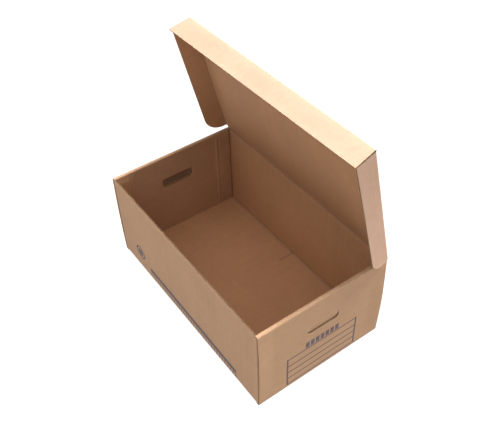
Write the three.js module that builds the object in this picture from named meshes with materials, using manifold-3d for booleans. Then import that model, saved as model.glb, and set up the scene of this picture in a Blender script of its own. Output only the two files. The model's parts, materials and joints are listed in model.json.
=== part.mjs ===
/*
 * Cardboard box file: a die-cut tray of corrugated board with rolled-over double ends,
 * push-in hand-hole flaps and a lid hinged on the back wall.
 *
 * Millimetres, +Z up. X runs along the box and Y from the front wall to the hinge.
 * The origin is at the middle of the floor's underside.
 */
import * as THREE from 'three';
import { mergeVertices } from 'three/addons/utils/BufferGeometryUtils.js';
import Module from 'manifold-3d';

const wasm = await Module();
wasm.setup();

// Board: its thickness, the inside radius of a crease, and the gaps that folding and cutting leave
const BOARD = 3;
const CREASE_RADIUS = 1;
const CREASE_STEPS = 5;
const LAYER_GAP = 0.4;
const CUT_GAP = 0.4;
const BEAD_FACETS = 20;

// Tray, outside
const LENGTH = 600;
const WIDTH = 346;
const HEIGHT = 247;

// Corner flaps, trapped between the two layers of each end
const CORNER_FLAP_LENGTH = 50;
const CORNER_FLAP_SLACK = 1;

// Inner end panels, with the tabs that lock them into the floor
const INNER_PANEL_SLACK = 2;
const LOCK_TAB_WIDTH = 60;
const LOCK_TAB_SPACING = 180;
const LOCK_TAB_SLACK = 1.5;
const LOCK_TAB_SHORT = 0.3;

// Hand holes: a clear hole in the inner panel, and a push-in flap in the outer one
const HAND_HOLE_WIDTH = 86;
const HAND_HOLE_HEIGHT = 25;
const HAND_HOLE_BOTTOM = 152;
const HAND_HOLE_CORNER = 9;
const INNER_HOLE_MARGIN = 1.5;
const LEFT_FLAP_ANGLE = 3;
const RIGHT_FLAP_ANGLE = 8;

// Lid: clearances to the tray, depths outside, how far its ends splay out, and how far it stands open
const LID_FRONT_CLEARANCE = 0.6;
const LID_END_CLEARANCE = 1;
const LID_SKIRT_DEPTH = 56;
const LID_FLAP_DEPTH = 52;
const LID_FLAP_CORNER = 42;
const LID_FLAP_SETBACK = 5;
const LID_SPLAY_ANGLE = 7;
const LID_ANGLE = 76.2;
const GLUE_TAB_LENGTH = 40;
const GLUE_SINK = 0.05;

// Spare length where one piece of sheet runs into another, and where a cutter passes a face
const LAP = 10;
const CUTTER_SPARE = 5;

// Places that follow from the sizes: the middle of each layer of board
const CREASE_MIDDLE = CREASE_RADIUS + BOARD / 2;
const LAYER_PITCH = BOARD + LAYER_GAP;
const outerPanelX = LENGTH / 2 - BOARD / 2;
const cornerFlapX = outerPanelX - LAYER_PITCH;
const innerPanelX = cornerFlapX - LAYER_PITCH;
const innerFaceX = innerPanelX - BOARD / 2;
const wallY = WIDTH / 2 - BOARD / 2;
const floorTop = BOARD;
const spineUnderside = HEIGHT - BOARD;

// The hinge of the lid, in line with the back wall's middle
const hingeY = wallY;
const hingeZ = HEIGHT + CUT_GAP + BOARD / 2;
const hingeHalfLength = cornerFlapX + BOARD / 2;
const lidReach = hingeY + WIDTH / 2 + LID_FRONT_CLEARANCE + BOARD + BOARD / 2;
const lidHalf = LENGTH / 2 + LID_END_CLEARANCE + BOARD / 2;
const lidSplay = Math.tan(THREE.MathUtils.degToRad(LID_SPLAY_ANGLE));
const skirtInnerY = -(lidReach - BOARD / 2);

// The hinge of a hand-hole flap, along its top edge
const handHoleTop = HAND_HOLE_BOTTOM + HAND_HOLE_HEIGHT;
const handHingeZ = handHoleTop - CUT_GAP - BOARD / 2;

// Kraft board, and its darker inside where it is a piece of its own
const kraft = new THREE.MeshStandardMaterial({ color: 0xb3906f, roughness: 0.85, metalness: 0 });
const kraftLid = new THREE.MeshStandardMaterial({ color: 0xc09a78, roughness: 0.85, metalness: 0 });
const kraftFlap = new THREE.MeshStandardMaterial({ color: 0xa98562, roughness: 0.85, metalness: 0 });

// Axes of a section: which way its first and second coordinate and its length run
const ALONG_X = new THREE.Matrix4().makeBasis(
  new THREE.Vector3(0, 1, 0),
  new THREE.Vector3(0, 0, 1),
  new THREE.Vector3(1, 0, 0),
);
const ALONG_Y = new THREE.Matrix4().makeBasis(
  new THREE.Vector3(1, 0, 0),
  new THREE.Vector3(0, 0, 1),
  new THREE.Vector3(0, -1, 0),
);
const ALONG_Z = new THREE.Matrix4();

function solidOf(geometry) {
  const shared = geometry.clone();
  shared.deleteAttribute('normal');
  shared.deleteAttribute('uv');
  const merged = mergeVertices(shared, 1e-4);
  return new wasm.Manifold(new wasm.Mesh({
    numProp: 3,
    vertProperties: new Float32Array(merged.attributes.position.array),
    triVerts: new Uint32Array(merged.index.array),
  }));
}

function geometryOf(solid) {
  const mesh = solid.getMesh();
  const geometry = new THREE.BufferGeometry();
  geometry.setAttribute('position', new THREE.BufferAttribute(new Float32Array(mesh.vertProperties), 3));
  geometry.setIndex(new THREE.BufferAttribute(new Uint32Array(mesh.triVerts), 1));
  return geometry;
}

// A shape pushed along an axis from one place to another; along Y, from the higher to the lower
function extruded(shape, axes, from, to) {
  const geometry = new THREE.ExtrudeGeometry(shape, {
    depth: Math.abs(to - from),
    bevelEnabled: false,
    curveSegments: CREASE_STEPS * 4,
  });
  const start = axes === ALONG_Y ? -Math.max(from, to) : Math.min(from, to);
  geometry.translate(0, 0, start);
  geometry.applyMatrix4(axes);
  return solidOf(geometry);
}

function block(low, high) {
  const geometry = new THREE.BoxGeometry(high[0] - low[0], high[1] - low[1], high[2] - low[2]);
  geometry.translate((low[0] + high[0]) / 2, (low[1] + high[1]) / 2, (low[2] + high[2]) / 2);
  return solidOf(geometry);
}

// The section of a folded sheet: its middle line runs through the corners, each one a rounded crease
function foldedSheet(corners) {
  const points = corners.map(([x, y]) => new THREE.Vector2(x, y));
  const line = [];
  const direction = (index) => points[index + 1].clone().sub(points[index]).normalize();
  const leftOf = (vector) => new THREE.Vector2(-vector.y, vector.x);

  line.push({ at: points[0], side: leftOf(direction(0)) });
  for (let index = 1; index < points.length - 1; index += 1) {
    const before = direction(index - 1);
    const after = direction(index);
    const turn = Math.atan2(before.cross(after), before.dot(after));
    const tangent = CREASE_MIDDLE * Math.tan(Math.abs(turn) / 2);
    const start = points[index].clone().addScaledVector(before, -tangent);
    const towardsCentre = CREASE_MIDDLE * Math.sign(turn);
    const centre = start.clone().addScaledVector(leftOf(before), towardsCentre);
    for (let step = 0; step <= CREASE_STEPS; step += 1) {
      const side = leftOf(before).rotateAround(new THREE.Vector2(), (turn * step) / CREASE_STEPS);
      line.push({ at: centre.clone().addScaledVector(side, -towardsCentre), side });
    }
  }
  line.push({ at: points[points.length - 1], side: leftOf(direction(points.length - 2)) });

  const left = line.map(({ at, side }) => at.clone().addScaledVector(side, BOARD / 2));
  const right = line.map(({ at, side }) => at.clone().addScaledVector(side, -BOARD / 2));
  return new THREE.Shape([...left, ...right.reverse()]);
}

// A hole or flap with a straight top, and its two bottom corners rounded
function roundedBelow(width, bottom, top, corner) {
  const half = width / 2;
  const shape = new THREE.Shape();
  shape.moveTo(-half, top);
  shape.lineTo(-half, bottom + corner);
  shape.absarc(-half + corner, bottom + corner, corner, Math.PI, Math.PI * 1.5);
  shape.lineTo(half - corner, bottom);
  shape.absarc(half - corner, bottom + corner, corner, Math.PI * 1.5, Math.PI * 2);
  shape.lineTo(half, top);
  return shape;
}

// A round bead of board along a hinge, where the sheet turns
function hingeBead(length, alongX) {
  const geometry = new THREE.CylinderGeometry(BOARD / 2, BOARD / 2, length, BEAD_FACETS);
  if (alongX) geometry.rotateZ(Math.PI / 2);
  return solidOf(geometry);
}

// Floor, front wall and back wall, between the two ends
function floorAndLongWalls() {
  const half = innerFaceX - LAYER_GAP;
  const section = foldedSheet([
    [-wallY, HEIGHT],
    [-wallY, BOARD / 2],
    [wallY, BOARD / 2],
    [wallY, HEIGHT],
  ]);
  return extruded(section, ALONG_X, -half, half);
}

// One long wall's full length, with the corner flap that turns in at each end of it
function wallWithCornerFlaps(side) {
  const flapEnd = WIDTH / 2 - CORNER_FLAP_LENGTH;
  const section = foldedSheet([
    [-cornerFlapX, side * flapEnd],
    [-cornerFlapX, side * wallY],
    [cornerFlapX, side * wallY],
    [cornerFlapX, side * flapEnd],
  ]);
  return extruded(section, ALONG_Z, floorTop + LAYER_GAP, spineUnderside - CORNER_FLAP_SLACK);
}

// Tabs on the inner panel's foot, and the slots in the floor that they lock into
function lockTabs(grow, bottom, top) {
  const halfWidth = LOCK_TAB_WIDTH / 2;
  const halfThickness = BOARD / 2;
  return [-1, 1].map((side) => {
    const y = (side * LOCK_TAB_SPACING) / 2;
    const across = grow > 0 ? LAYER_GAP : 0;
    return block(
      [innerPanelX - halfThickness - across, y - halfWidth - grow, bottom],
      [innerPanelX + halfThickness + across, y + halfWidth + grow, top],
    );
  });
}

// One end: outer panel up, spine over the corner flaps, and inner panel down to the floor
function rolledEnd() {
  const section = foldedSheet([
    [innerFaceX - LAP, BOARD / 2],
    [outerPanelX, BOARD / 2],
    [outerPanelX, HEIGHT - BOARD / 2],
    [innerPanelX, HEIGHT - BOARD / 2],
    [innerPanelX, floorTop + LAYER_GAP],
  ]);
  let end = extruded(section, ALONG_Y, -WIDTH / 2, WIDTH / 2);

  // The inner panel stands clear of both long walls
  const innerPanelHalf = WIDTH / 2 - BOARD - INNER_PANEL_SLACK;
  for (const side of [-1, 1]) {
    const inner = side * innerPanelHalf;
    const outer = side * (WIDTH / 2 + CUTTER_SPARE);
    end = end.subtract(block(
      [innerFaceX - CUTTER_SPARE, Math.min(inner, outer), floorTop + LAYER_GAP / 2],
      [innerPanelX + BOARD / 2 + CREASE_RADIUS, Math.max(inner, outer), spineUnderside],
    ));
  }

  for (const slot of lockTabs(LOCK_TAB_SLACK, -CUTTER_SPARE, floorTop + LAYER_GAP / 2)) {
    end = end.subtract(slot);
  }
  for (const tab of lockTabs(0, LOCK_TAB_SHORT, floorTop + LAYER_GAP + BOARD)) {
    end = end.add(tab);
  }

  const outerHole = roundedBelow(HAND_HOLE_WIDTH, HAND_HOLE_BOTTOM, handHoleTop, HAND_HOLE_CORNER);
  end = end.subtract(extruded(outerHole, ALONG_X, cornerFlapX, LENGTH / 2 + CUTTER_SPARE));
  const innerHole = roundedBelow(
    HAND_HOLE_WIDTH + 2 * INNER_HOLE_MARGIN,
    HAND_HOLE_BOTTOM - INNER_HOLE_MARGIN,
    handHoleTop + INNER_HOLE_MARGIN,
    HAND_HOLE_CORNER,
  );
  return end.subtract(extruded(innerHole, ALONG_X, innerFaceX - CUTTER_SPARE, cornerFlapX));
}

function tray() {
  const rightEnd = rolledEnd();
  const leftEnd = rightEnd.mirror([1, 0, 0]);
  let middle = floorAndLongWalls();
  for (const slot of lockTabs(LOCK_TAB_SLACK, -CUTTER_SPARE, floorTop + CUTTER_SPARE)) {
    middle = middle.subtract(slot).subtract(slot.mirror([1, 0, 0]));
  }
  return middle
    .add(rightEnd)
    .add(leftEnd)
    .add(wallWithCornerFlaps(-1))
    .add(wallWithCornerFlaps(1));
}

// The lid is drawn closed, with its hinge at the origin and its front towards -Y
function lidPanelAndEndFlaps() {
  const flapFoot = BOARD / 2 - LID_FLAP_DEPTH;
  const footHalf = lidHalf - flapFoot * lidSplay;
  const section = foldedSheet([
    [-footHalf, flapFoot],
    [-lidHalf, 0],
    [lidHalf, 0],
    [footHalf, flapFoot],
  ]);
  const folded = extruded(section, ALONG_Y, skirtInnerY - GLUE_SINK, -LID_FLAP_SETBACK);

  // Seen from the end, each flap's free corner beside the hinge is rounded off
  const outline = new THREE.Shape();
  const corner = LID_FLAP_CORNER;
  outline.moveTo(-LID_FLAP_SETBACK, BOARD);
  outline.lineTo(skirtInnerY - CUTTER_SPARE, BOARD);
  outline.lineTo(skirtInnerY - CUTTER_SPARE, flapFoot);
  outline.lineTo(-LID_FLAP_SETBACK - corner, flapFoot);
  outline.absarc(-LID_FLAP_SETBACK - corner, flapFoot + corner, corner, -Math.PI / 2, 0);
  const spread = footHalf + CUTTER_SPARE;
  const rounded = folded.intersect(extruded(outline, ALONG_X, -spread, spread));

  // The panel stops where the front crease starts
  return rounded.subtract(block(
    [-spread, skirtInnerY - CUTTER_SPARE, -CREASE_MIDDLE],
    [spread, -(lidReach - CREASE_MIDDLE), BOARD],
  ));
}

// The front crease and the skirt, cut at its ends to the splay of the end flaps
function lidSkirt() {
  const section = foldedSheet([
    [-lidReach + CREASE_MIDDLE + LAYER_GAP, 0],
    [-lidReach, 0],
    [-lidReach, BOARD / 2 - LID_SKIRT_DEPTH],
  ]);
  const half = lidHalf + BOARD / 2 - CUT_GAP;
  const topHalf = half - BOARD * lidSplay;
  const footHalf = half + LID_SKIRT_DEPTH * lidSplay;
  const ends = new THREE.Shape();
  ends.moveTo(-topHalf, BOARD);
  ends.lineTo(-footHalf, -LID_SKIRT_DEPTH);
  ends.lineTo(footHalf, -LID_SKIRT_DEPTH);
  ends.lineTo(topHalf, BOARD);
  const wide = extruded(section, ALONG_X, -footHalf - CUTTER_SPARE, footHalf + CUTTER_SPARE);
  return wide.intersect(extruded(ends, ALONG_Y, -lidReach - CUTTER_SPARE, -lidReach + CUTTER_SPARE));
}

// A tab turned in from each end flap is glued to the back of the skirt
function lidGlueTab(side) {
  const foot = BOARD / 2 - LID_FLAP_DEPTH;
  const top = -BOARD / 2 - LAYER_GAP;
  const inner = lidHalf - GLUE_TAB_LENGTH;
  const shape = new THREE.Shape();
  shape.moveTo(side * (inner - top * lidSplay), top);
  shape.lineTo(side * (inner - foot * lidSplay), foot);
  shape.lineTo(side * (lidHalf - foot * lidSplay), foot);
  shape.lineTo(side * (lidHalf - top * lidSplay), top);
  return extruded(shape, ALONG_Y, skirtInnerY - GLUE_SINK, skirtInnerY - GLUE_SINK + BOARD);
}

function lidHingeEdge() {
  const strip = block(
    [-hingeHalfLength, -LID_FLAP_SETBACK - LAP, -BOARD / 2],
    [hingeHalfLength, 0, BOARD / 2],
  );
  return strip.add(hingeBead(hingeHalfLength * 2, true));
}

function lid() {
  return lidPanelAndEndFlaps()
    .add(lidSkirt())
    .add(lidGlueTab(-1))
    .add(lidGlueTab(1))
    .add(lidHingeEdge());
}

// A hand-hole flap hangs from its hinge at the origin, in the plane of the end panel
function handHoleFlap() {
  const width = HAND_HOLE_WIDTH - 2 * CUT_GAP;
  const bottom = HAND_HOLE_BOTTOM + CUT_GAP - handHingeZ;
  const shape = roundedBelow(width, bottom, 0, HAND_HOLE_CORNER);
  return extruded(shape, ALONG_X, -BOARD / 2, BOARD / 2).add(hingeBead(width, false));
}

function meshOf(name, solid, material) {
  const mesh = new THREE.Mesh(geometryOf(solid), material);
  mesh.name = name;
  return mesh;
}

const box = new THREE.Group();
box.add(meshOf('tray', tray(), kraft));

const lidMesh = meshOf('lid', lid(), kraftLid);
lidMesh.position.set(0, hingeY, hingeZ);
lidMesh.rotation.x = -THREE.MathUtils.degToRad(LID_ANGLE);
box.add(lidMesh);

const handFlaps = [
  { name: 'left_hand_hole_flap', side: -1, angle: LEFT_FLAP_ANGLE },
  { name: 'right_hand_hole_flap', side: 1, angle: RIGHT_FLAP_ANGLE },
];
for (const { name, side, angle } of handFlaps) {
  const flap = meshOf(name, handHoleFlap(), kraftFlap.clone());
  flap.position.set(side * outerPanelX, 0, handHingeZ);
  flap.rotation.y = side * THREE.MathUtils.degToRad(angle);
  box.add(flap);
}

export default box;
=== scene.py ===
"""The looks of a corrugated cardboard box file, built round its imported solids.

Lengths are in metres. Each piece of board is a Sheet: a fold, drawn as the middle line of the board, and
an outline on the flat. Build turns sheets into a mesh with two liners, open cut edges and the fluted
sheet that shows in them.
"""

import json
import math

import bmesh
import bpy
import numpy as np
from mathutils import Matrix, Vector, noise
from mathutils.geometry import delaunay_2d_cdt


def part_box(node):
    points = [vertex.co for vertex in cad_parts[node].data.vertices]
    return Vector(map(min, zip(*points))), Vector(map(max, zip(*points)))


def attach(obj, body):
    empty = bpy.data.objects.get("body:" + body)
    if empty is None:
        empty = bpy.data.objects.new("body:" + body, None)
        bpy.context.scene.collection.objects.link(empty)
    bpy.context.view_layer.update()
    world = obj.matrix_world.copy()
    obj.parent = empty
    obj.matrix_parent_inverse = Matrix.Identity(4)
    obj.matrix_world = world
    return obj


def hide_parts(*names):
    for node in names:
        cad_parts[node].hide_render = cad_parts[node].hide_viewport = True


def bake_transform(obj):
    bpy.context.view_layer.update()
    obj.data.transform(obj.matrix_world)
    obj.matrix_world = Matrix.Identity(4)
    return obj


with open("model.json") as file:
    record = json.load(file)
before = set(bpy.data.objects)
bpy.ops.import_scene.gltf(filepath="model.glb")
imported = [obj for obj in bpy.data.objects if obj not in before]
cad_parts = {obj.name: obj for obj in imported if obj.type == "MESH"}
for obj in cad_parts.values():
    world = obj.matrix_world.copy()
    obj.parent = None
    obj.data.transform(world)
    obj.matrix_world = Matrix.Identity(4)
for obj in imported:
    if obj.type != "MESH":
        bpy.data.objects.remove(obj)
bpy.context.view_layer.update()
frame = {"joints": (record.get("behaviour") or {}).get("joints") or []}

MM = 0.001

# The board: its thickness, its liners and the fluted sheet between them
BOARD = 3.0 * MM
LINER = 0.38 * MM
MEDIUM = 0.26 * MM
FLUTE_PITCH = 6.5 * MM
FLUTE_SWING = BOARD / 2 - LINER - MEDIUM / 2
EDGE_DEPTH = 5.0 * MM
EDGE_RECESS = 0.35 * MM
WASHBOARD = 0.055 * MM

# How it is folded
CREASE_RADIUS = 1.0 * MM
CREASE_MIDDLE = CREASE_RADIUS + BOARD / 2
CREASE_STEPS = 8
LAYER_GAP = 0.4 * MM
CUT_GAP = 0.4 * MM
LAYER_PITCH = BOARD + LAYER_GAP

# How finely the sheet is cut up, across its flutes and along them
ACROSS_STEP = FLUTE_PITCH / 4
ALONG_STEP = 26 * MM
MEDIUM_STEP = FLUTE_PITCH / 9
CORNER_STEPS = 7
LID_CORNER_STEPS = 14
SHORTEST_EDGE = 0.05 * MM
CLOSEST_ROWS = 0.2 * MM
CLEAR_OF_CUTS = 0.35 * ACROSS_STEP
SAME_PLACE = 0.01 * MM
FLAT_SCALE = 1000.0
SHARP_ANGLE = math.radians(35)

# How far its creases and cuts show on its liners
CREASE_REACH = 4 * MM
RIM_REACH = 3 * MM
RIM_SEARCH = 6 * MM
GRAIN_SHIFT = 0.37 * MM

# How far the board bows everywhere, away from its creases
BOW = 0.7 * MM
BOW_SCALE = 190 * MM
BOW_FADE = 45 * MM

# How the ends are out of flat: the inner panel stands out over the corner flaps, is crushed at their
# edges and leans on the floor's edge at its foot, and the outer panel springs out at its two sides
BULGE = 1.8 * MM
BULGE_STEP = 1.4 * MM
BULGE_FADE = 20 * MM
CRUSH = 1.3 * MM
CRUSH_AT = 9 * MM
EDGE_SPRING = 3.6 * MM
EDGE_SPRING_WIDTH = 45 * MM
INNER_EXTRA_SLACK = 1.5 * MM
SLOT_SEAT = 0.33 * MM
# In millimetres from the corner flaps' edges, and from the sides: where the bends need rows of their own
ROWS_BY_FLAP_EDGE = (-3, -1.4, -0.7, 0, 0.7, 1.4, 3, 5, 7, 8, 9, 10, 11, 13)
ROWS_BY_SIDE = (3, 8, 14, 20, 28, 36)

# The tray, from its solid
tray_low, tray_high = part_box("tray")
LENGTH = tray_high.x - tray_low.x
WIDTH = tray_high.y - tray_low.y
HEIGHT = tray_high.z - tray_low.z
CORNER_FLAP_LENGTH = 50 * MM
CORNER_FLAP_SLACK = 1 * MM
INNER_PANEL_SLACK = 2 * MM
LOCK_TAB_WIDTH = 60 * MM
LOCK_TAB_SPACING = 180 * MM
LOCK_TAB_SLACK = 1.5 * MM
LOCK_TAB_SHORT = 0.3 * MM
HAND_HOLE_WIDTH = 86 * MM
HAND_HOLE_HEIGHT = 25 * MM
HAND_HOLE_BOTTOM = 152 * MM
HAND_HOLE_CORNER = 9 * MM
INNER_HOLE_MARGIN = 1.5 * MM

outer_panel_x = LENGTH / 2 - BOARD / 2
corner_flap_x = outer_panel_x - LAYER_PITCH
inner_panel_x = corner_flap_x - LAYER_PITCH
inner_face_x = inner_panel_x - BOARD / 2
long_wall_end_x = inner_face_x - LAYER_GAP
wall_y = WIDTH / 2 - BOARD / 2
spine_underside = HEIGHT - BOARD
hand_hole_top = HAND_HOLE_BOTTOM + HAND_HOLE_HEIGHT

# The lid, from its joint and the tray's size
joints = {joint["name"]: joint for joint in frame["joints"]}
lid_pivot = Vector(joints["lid_hinge"]["pos_m"])
lid_angle = math.radians(-joints["lid_hinge"]["range_deg"][0])
LID_FRONT_CLEARANCE = 0.6 * MM
LID_END_CLEARANCE = 1 * MM
LID_SKIRT_DEPTH = 56 * MM
LID_FLAP_DEPTH = 52 * MM
LID_FLAP_CORNER = 42 * MM
LID_FLAP_SETBACK = 5 * MM
LID_SPLAY = math.tan(math.radians(7))
GLUE_TAB_LENGTH = 40 * MM
lid_reach = lid_pivot.y + WIDTH / 2 + LID_FRONT_CLEARANCE + 1.5 * BOARD
lid_half = LENGTH / 2 + LID_END_CLEARANCE + BOARD / 2
hinge_half = corner_flap_x + BOARD / 2
CREASE_STRIP = 3.5 * MM

# How this lid is pulled out of true: skewed to one side, its skirt uneven, its end flaps sprung at the back
LID_SKEW = 0.6 * MM
SKIRT_UNEVEN = 1.5 * MM
FLAP_SPRING_FRONT = -2 * MM
FLAP_SPRING_BACK = 6 * MM


# Sheet geometry

class Fold:
    """The middle line of a folded sheet in a plane: straight runs with a rounded crease at each corner."""

    def __init__(self, corners):
        points = [Vector(corner) for corner in corners]
        self.runs = []
        self.start = 0.0
        at = points[0]
        length = 0.0
        for index in range(1, len(points)):
            before = (points[index] - points[index - 1]).normalized()
            last = index == len(points) - 1
            tangent = 0.0
            turn = 0.0
            if not last:
                after = (points[index + 1] - points[index]).normalized()
                turn = math.atan2(before.cross(after), before.dot(after))
                tangent = CREASE_MIDDLE * math.tan(abs(turn) / 2)
            end = points[index] - before * tangent
            run = (end - at).length
            self.runs.append(("straight", length, length + run, at, before, 0.0))
            length += run
            if not last:
                arc = CREASE_MIDDLE * abs(turn)
                self.runs.append(("crease", length, length + arc, end, before, turn))
                length += arc
                at = points[index] + after * tangent
        self.length = length

    def at(self, s):
        """The point on the middle line at the distance s, and the normal to its left."""
        for kind, start, end, origin, direction, turn in self.runs:
            if s <= end + 1e-9 or (kind, start, end, origin, direction, turn) == self.runs[-1]:
                break
        left = Vector((-direction.y, direction.x))
        if kind == "straight":
            return origin + direction * (s - start), left
        angle = turn * (s - start) / (end - start)
        to_centre = CREASE_MIDDLE * math.copysign(1.0, turn)
        centre = origin + left * to_centre
        turned = Vector((
            left.x * math.cos(angle) - left.y * math.sin(angle),
            left.x * math.sin(angle) + left.y * math.cos(angle),
        ))
        return centre - turned * to_centre, turned

    def creases(self):
        return [(start, end) for kind, start, end, *_ in self.runs if kind == "crease"]

    def lines(self, step):
        """Distances along the middle line at which the mesh has a row, close together in the creases."""
        rows = [0.0]
        for kind, start, end, *_ in self.runs:
            count = CREASE_STEPS if kind == "crease" else max(1, math.ceil((end - start) / step))
            rows += [start + (end - start) * k / count for k in range(1, count + 1)]
        return np.array(rows)


def along_x(a, b, q):
    return Vector((q, a, b))


def along_y(a, b, q):
    return Vector((a, q, b))


def along_z(a, b, q):
    return Vector((a, b, q))


def leaning_z(slope):
    """Along Z, moved sideways below the level of the hinge."""
    return lambda a, b, q: Vector((a - slope * q, b, q))


def smooth(value, low, high):
    t = np.clip((value - low) / (high - low), 0, 1)
    return t * t * (3 - 2 * t)


def inside(points, loop):
    """Which of the points lie inside a closed loop."""
    x, y = points[:, 0], points[:, 1]
    found = np.zeros(len(points), bool)
    ring = np.array(loop)
    for (x0, y0), (x1, y1) in zip(ring, np.roll(ring, -1, axis=0)):
        if y0 == y1:
            continue
        crossing = ((y0 > y) != (y1 > y)) & (x < (x1 - x0) * (y - y0) / (y1 - y0) + x0)
        found ^= crossing
    return found


def gap_to_line(points, start, end):
    """How far each of the points is from a straight stretch."""
    run = end - start
    size = max(float(run @ run), 1e-18)
    t = np.clip(((points - start) @ run) / size, 0, 1)
    return np.linalg.norm(points - (start + t[:, None] * run), axis=1)


def near_loop(points, loop, distance):
    """Which of the points lie closer to a closed loop than the distance."""
    ring = np.array(loop)
    found = np.zeros(len(points), bool)
    for start, end in zip(ring, np.roll(ring, -1, axis=0)):
        found |= gap_to_line(points, start, end) < distance
    return found


def cut_at_rows(loop, s_rows, q_rows):
    """The loop with a point wherever it crosses a row of the mesh."""
    ring = [np.array(point, float) for point in loop]
    result = []
    for start, end in zip(ring, ring[1:] + ring[:1]):
        cuts = [0.0]
        for axis, rows in ((0, s_rows), (1, q_rows)):
            span = end[axis] - start[axis]
            if abs(span) > 1e-7:
                ratio = (rows - start[axis]) / span
                cuts += list(ratio[(ratio > 0) & (ratio < 1)])
        size = np.linalg.norm(end - start)
        last = None
        for cut in sorted(cuts):
            if last is None or (cut - last) * size > SHORTEST_EDGE:
                if cut == 0.0 or (1 - cut) * size > SHORTEST_EDGE:
                    result.append(start + (end - start) * cut)
                    last = cut
    return result


def signed_area(ring):
    x, y = ring[:, 0], ring[:, 1]
    return 0.5 * float(np.sum(x * np.roll(y, -1) - np.roll(x, -1) * y))


def arc(centre, radius, start, end, steps=10):
    """Points of a round corner, its angles in degrees."""
    angles = [math.radians(start + (end - start) * k / steps) for k in range(steps + 1)]
    return [(centre[0] + radius * math.cos(a), centre[1] + radius * math.sin(a)) for a in angles]


class Sheet:
    """A piece of board: its fold, and how the fold's plane lies in space.

    On the flat it has s along the fold and q across it. The flutes run along "s" or along "q", and phase
    shifts them. outside is +1 where the outer liner is on the left of the fold and -1 where it is on the
    right. joined lists where the sheet goes on in another piece, as ("s" or "q", the distance), and held
    where something else keeps it from bowing. bulge(s, q) moves the board outwards, pinch(s) thins it,
    fine is the step between rows along the fold, and rows are extra rows across it.
    """

    def __init__(
        self, fold, place, flutes, outside, phase=0.0, joined=(), held=(),
        bulge=None, pinch=None, fine=None, rows=(),
    ):
        self.fold = fold
        self.place = place
        self.flutes = flutes
        self.outside = outside
        self.phase = phase
        self.joined = joined
        self.held = held
        self.bulge = bulge
        self.pinch = pinch
        self.fine = fine
        self.rows = rows

    def flute_angle(self, s, q):
        across = q if self.flutes == "s" else s
        return 2 * math.pi * (across + self.phase) / FLUTE_PITCH

    def calm(self, s, q):
        """How free the sheet is to bow at a place: nothing at its creases and where it is joined on."""
        free = 1.0
        for start, end in self.fold.creases():
            gap = max(start - s, s - end, 0.0)
            free *= float(smooth(gap, 0, BOW_FADE))
        for axis, value in (*self.joined, *self.held):
            gap = abs((s if axis == "s" else q) - value)
            free *= float(smooth(gap, 0, BOW_FADE))
        return free

    def is_joined(self, start, end):
        """Whether a stretch of the outline is joined on to the next piece of the same sheet."""
        for axis, value in self.joined:
            index = 0 if axis == "s" else 1
            if abs(start[index] - value) < SAME_PLACE and abs(end[index] - value) < SAME_PLACE:
                return True
        return False

    def point(self, s, q, offset, ripple=True):
        """A point at the offset from the sheet's middle, towards its outer liner."""
        middle, left = self.fold.at(s)
        base = self.place(middle.x, middle.y, q)
        ahead = self.place(middle.x + left.x * MM, middle.y + left.y * MM, q)
        normal = (ahead - base).normalized() * self.outside
        bow = BOW * noise.noise(base / BOW_SCALE) * self.calm(s, q)
        if self.bulge:
            bow += self.bulge(s, q)
        if self.pinch:
            offset *= self.pinch(s)
        sway = WASHBOARD * math.cos(self.flute_angle(s, q)) if ripple else 0.0
        return base + normal * (offset + bow + sway)


def world_mesh(name, verts, faces, material_index, attributes, materials):
    """A mesh in world coordinates, with values at its points for the materials to read."""
    mesh = bpy.data.meshes.new(name)
    mesh.from_pydata([tuple(v) for v in verts], [], faces)
    for material in materials:
        mesh.materials.append(material)
    mesh.polygons.foreach_set("material_index", material_index)
    for key, values in attributes.items():
        kind = "FLOAT_VECTOR" if np.ndim(values) == 2 else "FLOAT"
        attribute = mesh.attributes.new(key, kind, "POINT")
        field = "vector" if kind == "FLOAT_VECTOR" else "value"
        attribute.data.foreach_set(field, np.asarray(values, np.float32).ravel())
    mesh.update()
    return mesh


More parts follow.
